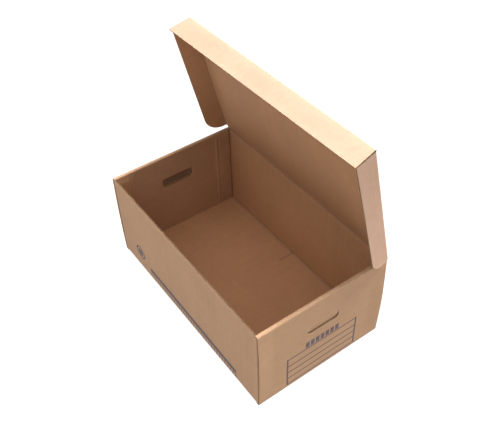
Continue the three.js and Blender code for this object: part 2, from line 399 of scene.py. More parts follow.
class Build:
    """Gathers sheets into one mesh."""

    def __init__(self):
        self.verts = []
        self.faces = []
        self.material = []
        self.side = []
        self.crease = []
        self.rim = []
        self.grain = []

    def vertex(self, point, flat, side, crease, rim):
        self.verts.append(point)
        self.grain.append(self.grain_of(flat))
        self.side.append(side)
        self.crease.append(crease)
        self.rim.append(rim)
        return len(self.verts) - 1

    def face(self, corners, material):
        self.faces.append(corners)
        self.material.append(material)

    def add_sheet(self, sheet, outline, holes=()):
        """The board's two liners, its cut edges and the fluted sheet that shows in them."""
        shift = len(self.verts) * GRAIN_SHIFT
        if sheet.flutes == "s":
            self.grain_of = lambda flat: (flat[1] + shift, flat[0], flat[2])
        else:
            self.grain_of = lambda flat: (flat[0] + shift, flat[1], flat[2])
        along_s = ALONG_STEP if sheet.flutes == "s" else ACROSS_STEP
        across_q = ACROSS_STEP if sheet.flutes == "s" else ALONG_STEP
        s_rows = sheet.fold.lines(sheet.fine or along_s)
        qs = [point[1] for loop in (outline, *holes) for point in loop]
        q_low, q_high = min(qs), max(qs)
        q_count = max(1, math.ceil((q_high - q_low) / across_q))
        q_rows = np.unique(np.concatenate([np.linspace(q_low, q_high, q_count + 1), sheet.rows]))
        q_rows = q_rows[np.concatenate([[True], np.diff(q_rows) > CLOSEST_ROWS])]

        loops = []
        for index, loop in enumerate((outline, *holes)):
            ring = np.array(cut_at_rows(loop, s_rows, q_rows))
            counter_clockwise = signed_area(ring) > 0
            if counter_clockwise != (index == 0):
                ring = ring[::-1]
            loops.append(ring)

        grid = np.array([(s, q) for s in s_rows for q in q_rows])
        keep = inside(grid, loops[0]) & ~near_loop(grid, loops[0], CLEAR_OF_CUTS)
        for hole in loops[1:]:
            keep &= ~inside(grid, hole) & ~near_loop(grid, hole, CLEAR_OF_CUTS)
        grid = grid[keep]

        points = np.concatenate([*loops, grid])
        edges = []
        base = 0
        for ring in loops:
            count = len(ring)
            edges += [(base + k, base + (k + 1) % count) for k in range(count)]
            base += count

        # Rows in a crease are kept as edges, so that no triangle cuts across the bend
        creases = sheet.fold.creases()
        widest = 1.5 * np.diff(q_rows).max()
        for start, end in creases:
            for row in s_rows[(s_rows > start - SAME_PLACE) & (s_rows < end + SAME_PLACE)]:
                members = np.nonzero(np.abs(grid[:, 0] - row) < SAME_PLACE / 10)[0]
                for one, other in zip(members, members[1:]):
                    if abs(grid[other, 1] - grid[one, 1]) < widest:
                        edges.append((base + int(one), base + int(other)))
        found = delaunay_2d_cdt([Vector(point * FLAT_SCALE) for point in points], edges, [], 1, 1e-6)
        flat = np.array([tuple(v) for v in found[0]]) / FLAT_SCALE
        triangles = np.array(found[2])
        centres = flat[triangles].mean(axis=1)
        good = inside(centres, loops[0])
        for hole in loops[1:]:
            good &= ~inside(centres, hole)
        triangles = triangles[good]

        origin = {}
        for index, sources in enumerate(found[3]):
            for source in sources:
                origin[source] = index

        def crease_of(s):
            best = 0.0
            for start, end in creases:
                gap = max(start - s, s - end, 0.0)
                best = max(best, 1 - gap / CREASE_REACH)
            return best

        rim_gap = np.full(len(flat), 1.0)
        for ring in loops:
            for start, end in zip(ring, np.roll(ring, -1, axis=0)):
                low = np.minimum(start, end) - RIM_SEARCH
                high = np.maximum(start, end) + RIM_SEARCH
                box = ((flat > low) & (flat < high)).all(axis=1)
                rim_gap[box] = np.minimum(rim_gap[box], gap_to_line(flat[box], start, end))

        used = sorted(set(triangles.ravel()))
        skins = {}
        for side in (1, -1):
            skin = {}
            for index in used:
                s, q = flat[index]
                rim = max(0.0, 1 - rim_gap[index] / RIM_REACH)
                skin[index] = self.vertex(
                    sheet.point(s, q, side * BOARD / 2), (s, q, side), side, crease_of(s), rim,
                )
            skins[side] = skin
            for a, b, c in triangles:
                corners = (skin[a], skin[b], skin[c]) if side > 0 else (skin[c], skin[b], skin[a])
                self.face(corners, 0)

        start_index = 0
        for ring in loops:
            members = [origin[start_index + k] for k in range(len(ring))]
            start_index += len(ring)
            self.cut_edge(sheet, ring, members, skins, crease_of)

    def cut_edge(self, sheet, ring, members, skins, crease_of):
        """The edge of a cut: both liners, a groove between them and the fluted sheet in the groove."""
        count = len(ring)
        after = np.roll(ring, -1, axis=0) - ring
        after /= np.maximum(np.linalg.norm(after, axis=1, keepdims=True), 1e-12)
        before = np.roll(after, 1, axis=0)
        inward = np.stack([-(after + before)[:, 1], (after + before)[:, 0]], axis=1)
        size = np.linalg.norm(inward, axis=1, keepdims=True)
        inward = inward / np.maximum(size, 0.7)

        lip = BOARD / 2 - LINER
        rails = []
        for k in range(count):
            edge = ring[k]
            deep = edge + inward[k] * EDGE_DEPTH
            crease = crease_of(edge[0])
            groove = [
                self.vertex(sheet.point(*place, offset), (*edge, 0), 0, crease, 1)
                for place, offset in ((edge, lip), (deep, lip), (deep, -lip), (edge, -lip))
            ]
            rails.append([skins[1][members[k]], *groove, skins[-1][members[k]]])
        joined = [sheet.is_joined(ring[k], ring[(k + 1) % count]) for k in range(count)]
        for k in range(count):
            if joined[k]:
                continue
            this, following = rails[k], rails[(k + 1) % count]
            for rail in range(5):
                corners = (this[rail], this[rail + 1], following[rail + 1], following[rail])
                self.face(corners, 1)

        ribbon = []
        for k in range(count):
            if joined[k]:
                ribbon.append(None)
                continue
            start, end = ring[k], ring[(k + 1) % count]
            turned = abs(sheet.flute_angle(*end) - sheet.flute_angle(*start)) * FLUTE_PITCH / (2 * math.pi)
            pieces = max(1, math.ceil(turned / MEDIUM_STEP))
            for piece in range(pieces):
                t = piece / pieces
                at = start + (end - start) * t
                inner = inward[k] * (1 - t) + inward[(k + 1) % count] * t
                ribbon.append((at + inner * EDGE_RECESS, at + inner * EDGE_DEPTH))
        rails = []
        for stretch in ribbon:
            if stretch is None:
                rails.append(None)
                continue
            edge, deep = stretch
            swing = FLUTE_SWING * math.sin(sheet.flute_angle(*edge))
            half = MEDIUM / 2
            rails.append([
                self.vertex(sheet.point(*place, swing + offset, ripple=False), (*place, 0), 0, 0, 1)
                for place, offset in ((edge, half), (edge, -half), (deep, -half), (deep, half))
            ])
        for k in range(len(rails)):
            this, following = rails[k], rails[(k + 1) % len(rails)]
            if this is None or following is None:
                continue
            for rail in range(4):
                nxt = (rail + 1) % 4
                self.face((this[rail], this[nxt], following[nxt], following[rail]), 1)

    def finish(self, name, materials):
        attributes = {
            "grain": np.array(self.grain),
            "side": self.side,
            "crease": self.crease,
            "rim": self.rim,
        }
        mesh = world_mesh(name, self.verts, self.faces, self.material, attributes, materials)
        work = bmesh.new()
        work.from_mesh(mesh)
        bmesh.ops.recalc_face_normals(work, faces=work.faces)
        for edge in work.edges:
            edge.smooth = len(edge.link_faces) == 2 and edge.calc_face_angle(0) < SHARP_ANGLE
        for face in work.faces:
            face.smooth = True
        work.to_mesh(mesh)
        work.free()
        piece = bpy.data.objects.new(name, mesh)
        bpy.context.scene.collection.objects.link(piece)
        return piece


# Materials

class Nodes:
    """Short ways to write shader nodes."""

    def __init__(self, name):
        self.material = bpy.data.materials.new(name)
        self.material.use_nodes = True
        self.tree = self.material.node_tree
        self.tree.nodes.clear()
        self.out = self.new("ShaderNodeOutputMaterial")
        self.shader = self.new("ShaderNodeBsdfPrincipled")
        self.link(self.shader.outputs[0], self.out.inputs[0])

    def new(self, kind, **values):
        node = self.tree.nodes.new(kind)
        for key, value in values.items():
            setattr(node, key, value)
        return node

    def link(self, source, target):
        self.tree.links.new(source, target)

    def put(self, socket, value):
        if isinstance(value, bpy.types.NodeSocket):
            self.link(value, socket)
        else:
            socket.default_value = value

    def math(self, operation, a, b=0.0, clamp=False):
        node = self.new("ShaderNodeMath", operation=operation, use_clamp=clamp)
        self.put(node.inputs[0], a)
        self.put(node.inputs[1], b)
        return node.outputs[0]

    def linear(self, value, gain, base):
        """The value times the gain, plus the base."""
        result = self.math("MULTIPLY_ADD", value, gain)
        result.node.inputs[2].default_value = base
        return result

    def attribute(self, name, vector=False):
        node = self.new("ShaderNodeAttribute", attribute_name=name)
        return node.outputs["Vector"] if vector else node.outputs["Fac"]

    def noise(self, vector, scale, detail=3.0, roughness=0.55, stretch=None):
        if stretch:
            mapping = self.new("ShaderNodeMapping")
            mapping.inputs["Scale"].default_value = stretch
            self.link(vector, mapping.inputs["Vector"])
            vector = mapping.outputs[0]
        node = self.new("ShaderNodeTexNoise")
        self.link(vector, node.inputs["Vector"])
        node.inputs["Scale"].default_value = scale
        node.inputs["Detail"].default_value = detail
        node.inputs["Roughness"].default_value = roughness
        return node.outputs["Fac"]

    def ramp(self, value, low, high):
        """0 at low, 1 at high, smooth between."""
        node = self.new("ShaderNodeMapRange", interpolation_type="SMOOTHSTEP")
        self.put(node.inputs["Value"], value)
        node.inputs["From Min"].default_value = low
        node.inputs["From Max"].default_value = high
        return node.outputs[0]

    def mix(self, factor, a, b):
        """Colour a where the factor is 0, colour b where it is 1."""
        node = self.new("ShaderNodeMix", data_type="RGBA", blend_type="MIX")
        self.put(node.inputs["Factor"], factor)
        self.put(node.inputs[6], a)
        self.put(node.inputs[7], b)
        return node.outputs[2]

    def scaled(self, color, factor):
        """The colour made lighter or darker by a factor."""
        node = self.new("ShaderNodeHueSaturation")
        self.put(node.inputs["Value"], factor)
        self.put(node.inputs["Color"], color)
        return node.outputs[0]

    def separate(self, vector):
        """The x, y and z of a place."""
        node = self.new("ShaderNodeSeparateXYZ")
        self.link(vector, node.inputs[0])
        return tuple(node.outputs)

    def bump(self, height, strength, distance):
        """Fine relief, on the shader's normal."""
        node = self.new("ShaderNodeBump")
        node.inputs["Strength"].default_value = strength
        node.inputs["Distance"].default_value = distance
        self.link(height, node.inputs["Height"])
        self.link(node.outputs[0], self.shader.inputs["Normal"])


# Colours of the board: outside and inside of the tray and the lid (the lid's outside paler as painted
# light, its inside darker as painted shade), the hand-hole flaps' inner side dark as painted shade behind
# the holes, paler where it is rubbed, dark for flecks, marks and the painted shade where it is in a fold,
# and of its cut edge
KRAFT = (0.42, 0.248, 0.142, 1)
# The lid's outside: a paler copy of the tray's kraft, painted light for its bright, washed-out skirt
KRAFT_LID_PAINTED_LIGHT = (0.43, 0.272, 0.188, 1)
KRAFT_INSIDE = (0.485, 0.260, 0.134, 1)
# The lid's inside: a darker copy of the tray's inside kraft, painted shade
KRAFT_LID_INSIDE_PAINTED_SHADE = (0.43, 0.228, 0.117, 1)
# The hand-hole flaps' inner side: painted shade, dark for the recess behind the inner panel's hole
KRAFT_FLAP_PAINTED_SHADE = (0.20, 0.125, 0.075, 1)
KRAFT_PALE = (0.58, 0.40, 0.27, 1)
KRAFT_DARK = (0.20, 0.11, 0.06, 1)
CORE_DARK = (0.36, 0.22, 0.125, 1)
CORE_PALE = (0.50, 0.33, 0.20, 1)
INK = (0.075, 0.068, 0.095, 1)

# How strongly each layer of the board's colour shows
CLOUD = 0.22
BLOTCH = 0.16
FIBRE = 0.30
# Painted shade: faint light and dark streaks along the flutes for the washboard lines
WASHBOARD_PAINTED_SHADE = 0.05
FLECKS = 0.35
WEAR = 0.26
# FOLD_SHADE: painted shade, how far the inner side of a crease is darkened
FOLD_SHADE = 0.35
INK_LEAST = 0.55
INK_SPREAD = 0.30

# The marks on the tray's floor: a short crush line and a small rub
CRUSH_LINE_X = -12 * MM
CRUSH_LINE_HALF = 1.4 * MM
CRUSH_LINE_START = 124 * MM
CRUSH_LINE_SHADE = 0.75
RUB_X = (-26 * MM, -8 * MM)
RUB_Y = (-17 * MM, -11 * MM)
RUB_PALENESS = 0.22

# The print: a ruled label with blocks above it on the right end, and a bar and a round mark on the front
PRINT_SOFT = 0.35 * MM
LABEL_LINES = (12.5 * MM, 33.5 * MM, 55 * MM, 77 * MM)
LABEL_TOP = 102 * MM
LABEL_LEFT = -95 * MM
LABEL_RIGHT = 99 * MM
LABEL_POST = 4.6 * MM
LABEL_LINE = 3.6 * MM
TITLE_BLOCKS = 7
TITLE_LOW = 106 * MM
TITLE_HIGH = 124 * MM
TITLE_LEFT = -47 * MM
TITLE_RIGHT = 49 * MM
TITLE_BLOCK_SPAN = (0.10, 0.86)
BAR_LEFT = -163 * MM
BAR_RIGHT = 214 * MM
BAR_HEIGHT = 30.0 * MM
BAR_SLOPE = -0.017
BAR_THICK = 13.0 * MM
BAND_LOW = 7 * MM
BAND_HIGH = 21 * MM
BAND_PITCH = 11 * MM
BAND_DASH_SPAN = (0.12, 0.50)
BAND_INK = 0.85
MARK_CENTRE = (-207 * MM, 60 * MM)
MARK_RADIUS = 21 * MM
MARK_RING = 5 * MM
MARK_DOT = 11.5 * MM


def kraft_material(name, outer, inner, ink=None):
    """Brown liner paper: cloudy colour, fibres, flecks, faint streaks along the flutes that paint in the
    shade of washboard lines, paler along creases and cuts, and darker on the inner side of creases as
    painted shade.

    With ink it is the tray's own: it has the print and the marks on the floor.
    """
    n = Nodes(name)
    where = n.new("ShaderNodeTexCoord").outputs["Object"]
    grain = n.attribute("grain", vector=True)
    crease = n.attribute("crease")
    rim = n.attribute("rim")

    cloud = n.noise(where, 9.0, 4.0)
    blotch = n.noise(where, 60.0, 4.0)
    fibre = n.noise(grain, 900.0, 3.0, 0.7, stretch=(0.22, 1.0, 1.0))
    speck = n.noise(grain, 1700.0, 2.0, 0.6)
    # Painted shade: streaks along the flutes for the washboard lines
    painted_washboard_shade = n.noise(grain, 1.0, 3.0, 0.6, stretch=(105.0, 3.0, 1.0))
    value = n.linear(cloud, CLOUD, 1 - CLOUD / 2)
    value = n.math("MULTIPLY", value, n.linear(blotch, BLOTCH, 1 - BLOTCH / 2))
    value = n.math("MULTIPLY", value, n.linear(fibre, FIBRE, 1 - FIBRE / 2))
    value = n.math("MULTIPLY", value, n.linear(n.ramp(painted_washboard_shade, 0.25, 0.75), WASHBOARD_PAINTED_SHADE, 1 - WASHBOARD_PAINTED_SHADE / 2))
    face = n.ramp(n.attribute("side"), -0.1, 0.1)
    color = n.scaled(n.mix(face, inner, outer), value)

    flecks = n.ramp(speck, 0.66, 0.74)
    color = n.mix(n.math("MULTIPLY", flecks, FLECKS), color, KRAFT_DARK)

    worn = n.noise(where, 240.0, 4.0, 0.7)
    scuff = n.math("MULTIPLY", n.ramp(crease, 0.45, 1.0), n.ramp(worn, 0.35, 0.65), clamp=True)
    rubbed = n.math("MULTIPLY", n.ramp(rim, 0.3, 1.0), n.ramp(worn, 0.40, 0.62), clamp=True)
    wear = n.math("MAXIMUM", scuff, rubbed)
    color = n.mix(n.math("MULTIPLY", wear, WEAR), color, KRAFT_PALE)
    # Painted shade: the inner side of each crease darkened towards KRAFT_DARK
    painted_fold_shade = n.math("MULTIPLY", n.ramp(crease, 0.55, 1.0), n.math("SUBTRACT", 1.0, face))
    color = n.mix(n.math("MULTIPLY", painted_fold_shade, FOLD_SHADE), color, KRAFT_DARK)
    if ink:
        line, rub = floor_marks(n, where)
        color = n.mix(n.math("MULTIPLY", line, CRUSH_LINE_SHADE), color, KRAFT_DARK)
        color = n.mix(n.math("MULTIPLY", rub, RUB_PALENESS), color, KRAFT_PALE)
        cover = n.ramp(n.math("ADD", fibre, n.math("MULTIPLY", worn, 0.5)), 0.30, 0.75)
        cover = n.linear(cover, INK_SPREAD, INK_LEAST)
        color = n.mix(n.math("MULTIPLY", ink(n, where), cover), color, INK)
    n.link(color, n.shader.inputs["Base Color"])

    n.link(n.linear(fibre, 0.16, 0.76), n.shader.inputs["Roughness"])
    n.shader.inputs["Specular IOR Level"].default_value = 0.28

    height = n.math("ADD", n.math("MULTIPLY", fibre, 0.6), n.math("MULTIPLY", blotch, 0.8))
    n.bump(height, 0.35, 0.12 * MM)
    return n.material


def span(n, value, low, high, soft=PRINT_SOFT):
    """1 between low and high, 0 outside."""
    rise = n.ramp(value, low - soft, low + soft)
    fall = n.ramp(value, high + soft, high - soft)
    return n.math("MULTIPLY", rise, fall)


def stripe(n, value, middle, thick):
    """1 within a stripe about its middle, 0 outside."""
    return span(n, value, middle - thick / 2, middle + thick / 2)


def either(n, masks):
    """Where any of the masks is."""
    result = masks[0]
    for mask in masks[1:]:
        result = n.math("MAXIMUM", result, mask)
    return result


def tray_print(n, where):
    """Where the tray's outside has ink: a ruled label on one end, a bar and a round mark on the front."""
    x, y, z = n.separate(where)
    outer = n.ramp(n.attribute("side"), 0.4, 0.6)

    right_end = n.math("GREATER_THAN", x, LENGTH / 2 - BOARD / 2)
    across = span(n, y, LABEL_LEFT, LABEL_RIGHT)
    height = span(n, z, LABEL_LINES[0] - LABEL_LINE, LABEL_TOP + LABEL_LINE)
    label = [
        n.math("MULTIPLY", across, stripe(n, z, line, LABEL_LINE)) for line in (*LABEL_LINES, LABEL_TOP)
    ]
    label += [
        n.math("MULTIPLY", height, stripe(n, y, post, LABEL_POST)) for post in (LABEL_LEFT, LABEL_RIGHT)
    ]
    pitch = (TITLE_RIGHT - TITLE_LEFT) / TITLE_BLOCKS
    phase = n.math("FRACT", n.math("DIVIDE", n.math("SUBTRACT", y, TITLE_LEFT), pitch))
    blocks = span(n, y, TITLE_LEFT, TITLE_RIGHT)
    blocks = n.math("MULTIPLY", blocks, span(n, phase, *TITLE_BLOCK_SPAN, 0.04))
    label.append(n.math("MULTIPLY", blocks, span(n, z, TITLE_LOW, TITLE_HIGH)))
    label = n.math("MULTIPLY", either(n, label), right_end)

    front = n.math("LESS_THAN", y, BOARD / 2 - WIDTH / 2)
    level = n.math("SUBTRACT", z, n.math("MULTIPLY", x, BAR_SLOPE))
    between = span(n, x, BAR_LEFT, BAR_RIGHT)
    bar = stripe(n, level, BAR_HEIGHT, BAR_THICK)
    dashes = n.math("FRACT", n.math("DIVIDE", x, BAND_PITCH))
    band = n.math("MULTIPLY", span(n, level, BAND_LOW, BAND_HIGH), span(n, dashes, *BAND_DASH_SPAN, 0.05))
    bar = either(n, [bar, n.math("MULTIPLY", band, BAND_INK)])
    bar = n.math("MULTIPLY", bar, between)
    dx = n.math("SUBTRACT", x, MARK_CENTRE[0])
    dz = n.math("SUBTRACT", z, MARK_CENTRE[1])
    reach = n.math("SQRT", n.math("ADD", n.math("MULTIPLY", dx, dx), n.math("MULTIPLY", dz, dz)))
    ring = span(n, reach, MARK_RADIUS - MARK_RING, MARK_RADIUS)
    dot = n.ramp(reach, MARK_DOT + 0.5 * MM, MARK_DOT - 0.5 * MM)
    front_print = n.math("MULTIPLY", either(n, [bar, ring, dot]), front)
    return n.math("MULTIPLY", either(n, [label, front_print]), outer)


def floor_marks(n, where):
    """A short crush line across the tray's floor by the back wall, and a small rub in the middle."""
    x, y, z = n.separate(where)
    low = n.math("LESS_THAN", z, 2 * BOARD)
    line = span(n, x, CRUSH_LINE_X - CRUSH_LINE_HALF, CRUSH_LINE_X + CRUSH_LINE_HALF, 1.2 * MM)
    line = n.math("MULTIPLY", line, low)
    line = n.math("MULTIPLY", line, span(n, y, CRUSH_LINE_START, WIDTH / 2, 6 * MM))
    rub = n.math("MULTIPLY", span(n, x, *RUB_X, 5 * MM), span(n, y, *RUB_Y, 3 * MM))
    return line, n.math("MULTIPLY", rub, low)


def core_material(name):
    """The cut edge of the board and the fluted sheet in it: rough torn fibres, clouded."""
    n = Nodes(name)
    where = n.new("ShaderNodeTexCoord").outputs["Object"]
    torn = n.noise(where, 900.0, 3.0, 0.7)
    cloud = n.noise(where, 40.0, 3.0)
    color = n.mix(n.ramp(torn, 0.3, 0.7), CORE_DARK, CORE_PALE)
    color = n.mix(n.math("MULTIPLY", cloud, 0.4), color, KRAFT_DARK)
    n.link(color, n.shader.inputs["Base Color"])
    n.shader.inputs["Roughness"].default_value = 0.92
    n.shader.inputs["Specular IOR Level"].default_value = 0.2
    n.bump(torn, 0.5, 0.15 * MM)
    return n.material


printed = kraft_material("tray_liner", KRAFT, KRAFT_INSIDE, tray_print)
# The lid's liner: paler outside as painted light, darker inside as painted shade
lid_liner_painted_light_and_shade = kraft_material("lid_liner_painted_light_and_shade", KRAFT_LID_PAINTED_LIGHT, KRAFT_LID_INSIDE_PAINTED_SHADE)
# The flaps' liner: its inner side dark as painted shade for the hand holes
flap_liner_painted_shade = kraft_material("flap_liner_painted_shade", KRAFT, KRAFT_FLAP_PAINTED_SHADE)
core = core_material("kraft_core")


# The tray

def rectangle(s0, s1, q0, q1):
    return [(s0, q0), (s1, q0), (s1, q1), (s0, q1)]


def long_walls(build):
    """Floor, front wall and back wall: flutes run up the walls and across the floor."""
    fold = Fold([
        (-wall_y, HEIGHT),
        (-wall_y, BOARD / 2),
        (wall_y, BOARD / 2),
        (wall_y, HEIGHT - CREASE_STRIP),
    ])
    joined = [("q", -long_wall_end_x), ("q", long_wall_end_x), ("s", fold.length)]
    sheet = Sheet(fold, along_x, "s", -1, joined=joined)
    build.add_sheet(sheet, rectangle(0, fold.length, -long_wall_end_x, long_wall_end_x))


def corner_strips(build):
    """The last of each long wall, its corner crease and the flap trapped in the end."""
    flap_end = WIDTH / 2 - CORNER_FLAP_LENGTH
    low = BOARD + LAYER_GAP
    high = spine_underside - CORNER_FLAP_SLACK
    for end in (-1, 1):
        for side in (-1, 1):
            fold = Fold([
                (end * long_wall_end_x, side * wall_y),
                (end * corner_flap_x, side * wall_y),
                (end * corner_flap_x, side * flap_end),
            ])
            outside = end * side
            sheet = Sheet(fold, along_z, "q", outside, phase=long_wall_end_x, joined=[("s", 0.0)])
            build.add_sheet(sheet, rectangle(0, fold.length, low, high))


def hand_hole_loop(width, bottom, top, corner, s_of_z):
    """A hole with a straight top and two round corners below, on the flat of a panel."""
    half = width / 2
    ring = [(-half, top)]
    ring += arc((-half + corner, bottom + corner), corner, 180, 270, CORNER_STEPS)
    ring += arc((half - corner, bottom + corner), corner, 270, 360, CORNER_STEPS)
    ring += [(half, top)]
    return [(s_of_z(z), q) for q, z in ring]


def rolled_end(build, end):
    """Floor edge, outer panel, spine and inner panel of one end, its flutes along the end."""
    fold = Fold([
        (end * long_wall_end_x, BOARD / 2),
        (end * outer_panel_x, BOARD / 2),
        (end * outer_panel_x, HEIGHT - BOARD / 2),
        (end * inner_panel_x, HEIGHT - BOARD / 2),
        (end * inner_panel_x, BOARD + LAYER_GAP),
    ])
    creases = fold.creases()
    first_end = creases[0][1]
    outer_base = BOARD / 2 + CREASE_MIDDLE

    def outer_s(z):
        return first_end + z - outer_base

    inner_start = creases[2][1]
    inner_base = HEIGHT - BOARD / 2 - CREASE_MIDDLE

    def inner_s(z):
        return inner_start + inner_base - z

    half = WIDTH / 2
    inner_half = half - BOARD - INNER_PANEL_SLACK - INNER_EXTRA_SLACK
    tab_foot = inner_s(LOCK_TAB_SHORT)
    slot_depth = BOARD + 2 * LAYER_GAP
    slot_half = LOCK_TAB_WIDTH / 2 + LOCK_TAB_SLACK
    tab_half = LOCK_TAB_WIDTH / 2
    tab_centre = LOCK_TAB_SPACING / 2
    narrow = inner_s(spine_underside)

    outline = [(0, -half), (narrow, -half), (narrow, -inner_half), (fold.length, -inner_half)]
    for centre in (-tab_centre, tab_centre):
        outline += [(fold.length, centre - tab_half), (tab_foot, centre - tab_half)]
        outline += [(tab_foot, centre + tab_half), (fold.length, centre + tab_half)]
    outline += [(fold.length, inner_half), (narrow, inner_half), (narrow, half), (0, half)]
    for centre in (tab_centre, -tab_centre):
        outline += [(0, centre + slot_half), (slot_depth, centre + slot_half)]
        outline += [(slot_depth, centre - slot_half), (0, centre - slot_half)]

    flap_edge = half - CORNER_FLAP_LENGTH
    panel_top = inner_start + BULGE_FADE
    panel_foot = fold.length - BULGE_FADE

    fine_rows = []
    for distance in ROWS_BY_FLAP_EDGE:
        fine_rows += [flap_edge + distance * MM, -flap_edge - distance * MM]
    for distance in ROWS_BY_SIDE:
        fine_rows += [half - distance * MM, distance * MM - half]

    def bulge(s, q):
        """The outer panel springs out at its sides, and the inner one stands out over the corner flaps."""
        if s < inner_start:
            up = min(max((s - first_end) / (creases[1][0] - first_end), 0.0), 1.0)
            near = float(smooth(abs(q), half - EDGE_SPRING_WIDTH, half))
            return EDGE_SPRING * near * math.sin(math.pi * up)
        down = float(smooth(s, inner_start, panel_top)) * float(smooth(s, fold.length, panel_foot))
        step = float(smooth(abs(q), flap_edge - BULGE_STEP, flap_edge + BULGE_STEP))
        groove = math.exp(-((abs(q) - flap_edge - CRUSH_AT) / BULGE_STEP) ** 2)
        seated = SLOT_SEAT * float(smooth(s, panel_foot, fold.length))
        return down * (BULGE * step - CRUSH * groove) + seated

    sheet = Sheet(
        fold, along_y, "q", -end, phase=long_wall_end_x,
        joined=[("s", 0.0), ("s", outer_s(hand_hole_top))], held=[("s", fold.length)],
        bulge=bulge, rows=fine_rows,
    )
    outer_hole = hand_hole_loop(
        HAND_HOLE_WIDTH, HAND_HOLE_BOTTOM, hand_hole_top, HAND_HOLE_CORNER, outer_s,
    )
    inner_hole = hand_hole_loop(
        HAND_HOLE_WIDTH + 2 * INNER_HOLE_MARGIN,
        HAND_HOLE_BOTTOM - INNER_HOLE_MARGIN,
        hand_hole_top + INNER_HOLE_MARGIN,
        HAND_HOLE_CORNER,
        inner_s,
    )
    build.add_sheet(sheet, outline, [outer_hole, inner_hole])


tray_build = Build()
long_walls(tray_build)
corner_strips(tray_build)
for end_side in (-1, 1):
    rolled_end(tray_build, end_side)
tray = tray_build.finish("tray_board", [printed, core])
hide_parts("tray")
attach(tray, "tray")


# The lid, drawn closed about its hinge and then turned open

lid_turn = Matrix.Translation(lid_pivot) @ Matrix.Rotation(-lid_angle, 4, "X")


def out_of_true(point):
    """A place on the closed lid, about its hinge, moved as this lid is bent."""
    forward = max(0.0, -point.y) / lid_reach
    depth = max(0.0, -point.z) / LID_FLAP_DEPTH
    across = point.x / lid_half
    spring = FLAP_SPRING_BACK + (FLAP_SPRING_FRONT - FLAP_SPRING_BACK) * min(1.0, forward)
    shift = LID_SKEW * forward + spring * depth * across * min(1.0, across * across)
    return Vector((point.x + shift, point.y, point.z))


def in_lid(place):
    return lambda a, b, q: lid_turn @ out_of_true(place(a, b, q))


def lid_panel(build):
    """Top panel and end flaps: flutes run from the hinge to the front."""
    foot = BOARD / 2 - LID_FLAP_DEPTH
    foot_half = lid_half - foot * LID_SPLAY
    fold = Fold([(-foot_half, foot), (-lid_half, 0), (lid_half, 0), (foot_half, foot)])
    front = lid_reach - CREASE_MIDDLE
    sheet = Sheet(fold, in_lid(along_y), "q", 1, phase=0.0, joined=[("q", -front), ("q", -CREASE_STRIP)])
    hinge_low = fold.length / 2 - hinge_half
    hinge_high = fold.length / 2 + hinge_half
    setback = LID_FLAP_SETBACK
    corner = LID_FLAP_CORNER
    outline = [(0, -front), (fold.length, -front)]
    outline += arc((fold.length - corner, -setback - corner), corner, 0, 90, LID_CORNER_STEPS)
    outline += [(hinge_high, -setback), (hinge_high, -CREASE_STRIP)]
    outline += [(hinge_low, -CREASE_STRIP), (hinge_low, -setback)]
    outline += arc((corner, -setback - corner), corner, 90, 180, LID_CORNER_STEPS)
    build.add_sheet(sheet, outline)


def lid_skirt(build):
    """The front crease and the skirt below it."""
    foot = BOARD / 2 - LID_SKIRT_DEPTH
    fold = Fold([(-lid_reach + CREASE_MIDDLE, 0), (-lid_reach, 0), (-lid_reach, foot)])
    sheet = Sheet(fold, in_lid(along_x), "s", -1, joined=[("s", 0.0)])
    half = lid_half + BOARD / 2 - CUT_GAP
    foot_half = half + LID_SKIRT_DEPTH * LID_SPLAY
    top = fold.creases()[0][1]
    build.add_sheet(sheet, [
        (0, -half),
        (top, -half),
        (fold.length + SKIRT_UNEVEN, -foot_half),
        (fold.length - SKIRT_UNEVEN, foot_half),
        (top, half),
        (0, half),
    ])


def lid_glue_tabs(build):
    """The front of each end flap and the tab that is glued behind the skirt."""
    front = -(lid_reach - CREASE_MIDDLE)
    tab_y = -(lid_reach - BOARD)
    low = BOARD / 2 - LID_FLAP_DEPTH
    high = -BOARD / 2 - LAYER_GAP
    for end in (-1, 1):
        fold = Fold([
            (end * lid_half, tab_y + GLUE_TAB_LENGTH),
            (end * lid_half, tab_y),
            (end * (lid_half - GLUE_TAB_LENGTH), tab_y),
        ])
        start = GLUE_TAB_LENGTH - (front - tab_y)
        place = in_lid(leaning_z(end * LID_SPLAY))
        sheet = Sheet(fold, place, "s", end, joined=[("s", start)])
        build.add_sheet(sheet, rectangle(start, fold.length, low, high))


lid_build = Build()
lid_panel(lid_build)
lid_skirt(lid_build)
lid_glue_tabs(lid_build)
lid = lid_build.finish("lid_board", [lid_liner_painted_light_and_shade, core])
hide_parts("lid")
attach(lid, "lid")


# The creases that the lid and the hand-hole flaps turn on, and the flaps

SCORE_WIDTH = 1.0 * MM
SCORE_DEPTH = 0.45
CREASE_ROW = 0.45 * MM
FLAP_STRIP = 2.5 * MM


def scored(middle):
    """The sheet pressed thin along a crease."""
    return lambda s: 1 - SCORE_DEPTH * math.exp(-((s - middle) / SCORE_WIDTH) ** 2)


def lid_crease():
    """The strip between the back wall and the lid, bent to the lid's opening angle."""
    build = Build()
    start = Vector((wall_y, HEIGHT - CREASE_STRIP))
    pivot = Vector((lid_pivot.y, lid_pivot.z))
    end = pivot + Vector((-math.cos(lid_angle), math.sin(lid_angle))) * CREASE_STRIP
    fold = Fold([start, pivot, end])
    middle = (pivot - start).length
    sheet = Sheet(
        fold, along_x, "s", -1, joined=[("s", 0.0), ("s", fold.length)],
        pinch=scored(middle), fine=CREASE_ROW,
    )
    spine = CREASE_STRIP + CUT_GAP
    wide, narrow = hinge_half, long_wall_end_x
    outline = [
        (0, -narrow), (spine, -narrow), (spine, -wide), (fold.length, -wide),
        (fold.length, wide), (spine, wide), (spine, narrow), (0, narrow),
    ]
    build.add_sheet(sheet, outline)
    piece = build.finish("lid_crease", [lid_liner_painted_light_and_shade, core])
    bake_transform(piece)


